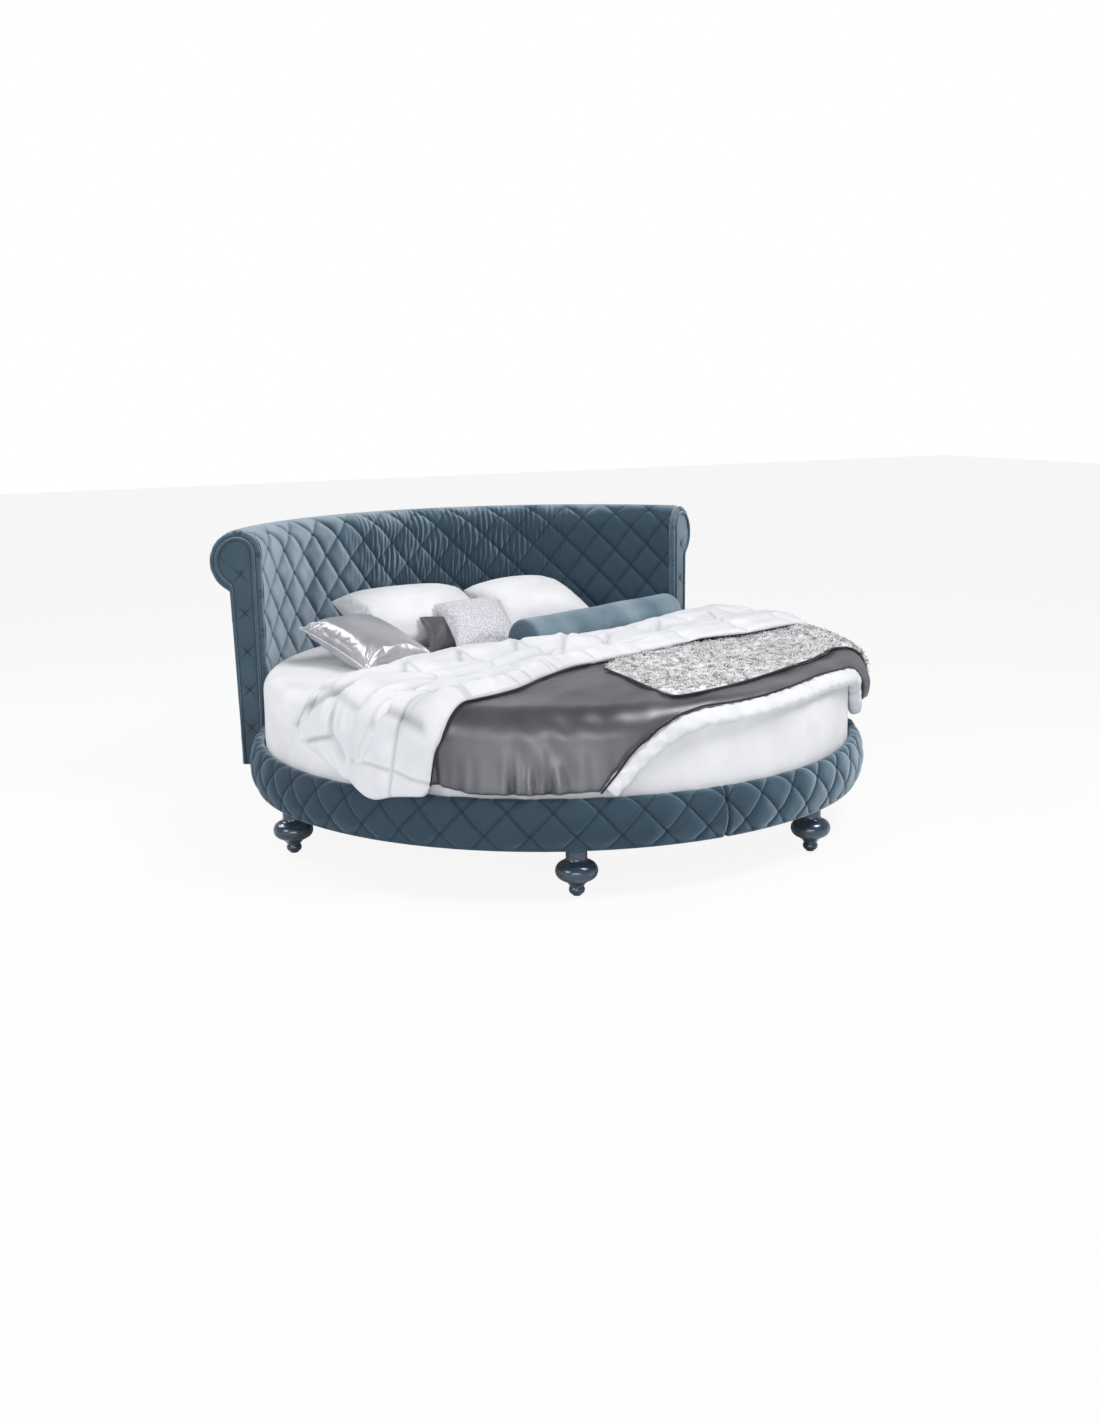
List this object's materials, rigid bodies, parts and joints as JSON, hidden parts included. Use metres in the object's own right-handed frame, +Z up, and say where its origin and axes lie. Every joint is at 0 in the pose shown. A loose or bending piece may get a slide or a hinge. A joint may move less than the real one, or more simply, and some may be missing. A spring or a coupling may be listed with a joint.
{
  "type": "round bed",
  "caption": "Round upholstered bed with a quilted ring base on turned bun feet, a curved scroll-top headboard, a slatted base, a mattress and bedding.",
  "frame": {"origin": "centre of the ring on the floor, under the centre leg's levelling glide", "axes": "+Z up, -Y towards the foot of the bed, +Y towards the headboard, +X to the right seen from the foot"},
  "size_m": [2.3296, 2.5018, 1.0759],
  "materials": {
    "velvet": "slate blue velvet, quilted, soft sheen",
    "piping_velvet": "slate blue velvet over a round cord",
    "plywood": "raw birch plywood",
    "beech": "planed beech",
    "lacquer": "dark blue gloss lacquer on turned wood",
    "black_steel": "black powder coat",
    "zinc_steel": "zinc plated steel",
    "felt": "dark felt",
    "ticking": "knitted mattress ticking",
    "white_cotton": "white cotton percale",
    "quilted_white": "white quilted cotton with a dark grey satin face",
    "grey_fur": "speckled grey and white long pile",
    "silver_satin": "silver satin, glossy",
    "grey_satin": "dark grey satin, glossy",
    "speckled_cloth": "pale cloth with a fine silver speckle"
  },
  "bodies": {
    "bed_frame": {"ring_pad_right": "velvet", "ring_pad_left": "velvet", "headboard_front_pad": "velvet", "headboard_back_cover": "velvet", "end_panel_right": "velvet", "end_panel_left": "velvet", "end_piping_right": "piping_velvet", "end_piping_left": "piping_velvet", "rail_right": "plywood", "rail_left": "plywood", "headboard_inner_panel": "plywood", "headboard_scroll_skin": "plywood", "headboard_back_panel": "plywood", "headboard_base_board": "plywood", "headboard_ribs": "plywood", "ledge_right": "beech", "ledge_left": "beech", "slats_right": "beech", "slats_left": "beech", "foot_blocks": "beech", "headboard_bolt_rail": "beech", "foot_front_right": "lacquer", "foot_side_right": "lacquer", "foot_back_right": "lacquer", "foot_back_left": "lacquer", "foot_side_left": "lacquer", "foot_front_left": "lacquer", "spine_tube": "black_steel", "spine_brackets": "black_steel", "joint_plates": "black_steel", "centre_leg": "black_steel", "joint_screws": "zinc_steel", "ledge_screws": "zinc_steel", "foot_hanger_bolts": "zinc_steel", "headboard_bolts": "zinc_steel", "foot_glides": "felt"},
    "mattress": {"mattress": "ticking", "fitted_sheet": "white_cotton"},
    "duvet": {"duvet": "quilted_white"},
    "fur_throw": {"fur_throw": "grey_fur"},
    "white_pillow_left": {"white_pillow_left": "white_cotton"},
    "white_pillow_right": {"white_pillow_right": "white_cotton"},
    "grey_pillow": {"grey_pillow": "grey_satin"},
    "silver_pillow": {"silver_pillow": "silver_satin"},
    "square_cushion": {"square_cushion": "speckled_cloth"},
    "velvet_bolster": {"velvet_bolster": "velvet"},
    "levelling_glide": {"levelling_glide": "zinc_steel"}
  },
  "joints": [
    {"name": "mattress_lift", "type": "slide", "parent": "bed_frame", "child": "mattress", "axis": [0, 0, 1], "range_m": [0, 0.35]},
    {"name": "duvet_lift", "type": "slide", "parent": "mattress", "child": "duvet", "axis": [0, 0, 1], "range_m": [0, 0.3]},
    {"name": "throw_lift", "type": "slide", "parent": "duvet", "child": "fur_throw", "axis": [0, 0, 1], "range_m": [0, 0.2]},
    {"name": "white_pillow_left_lift", "type": "slide", "parent": "mattress", "child": "white_pillow_left", "axis": [0, 0, 1], "range_m": [0, 0.3]},
    {"name": "white_pillow_right_lift", "type": "slide", "parent": "mattress", "child": "white_pillow_right", "axis": [0, 0, 1], "range_m": [0, 0.3]},
    {"name": "grey_pillow_lift", "type": "slide", "parent": "white_pillow_left", "child": "grey_pillow", "axis": [0, 0, 1], "range_m": [0, 0.25]},
    {"name": "silver_pillow_lift", "type": "slide", "parent": "white_pillow_left", "child": "silver_pillow", "axis": [0, 0, 1], "range_m": [0, 0.25]},
    {"name": "square_cushion_lift", "type": "slide", "parent": "grey_pillow", "child": "square_cushion", "axis": [0, 0, 1], "range_m": [0, 0.25]},
    {"name": "bolster_lift", "type": "slide", "parent": "mattress", "child": "velvet_bolster", "axis": [0, 0, 1], "range_m": [0, 0.3]},
    {"name": "levelling_glide_screw", "type": "slide", "parent": "bed_frame", "child": "levelling_glide", "axis": [0, 0, 1], "range_m": [0, 0.015]}
  ]
}
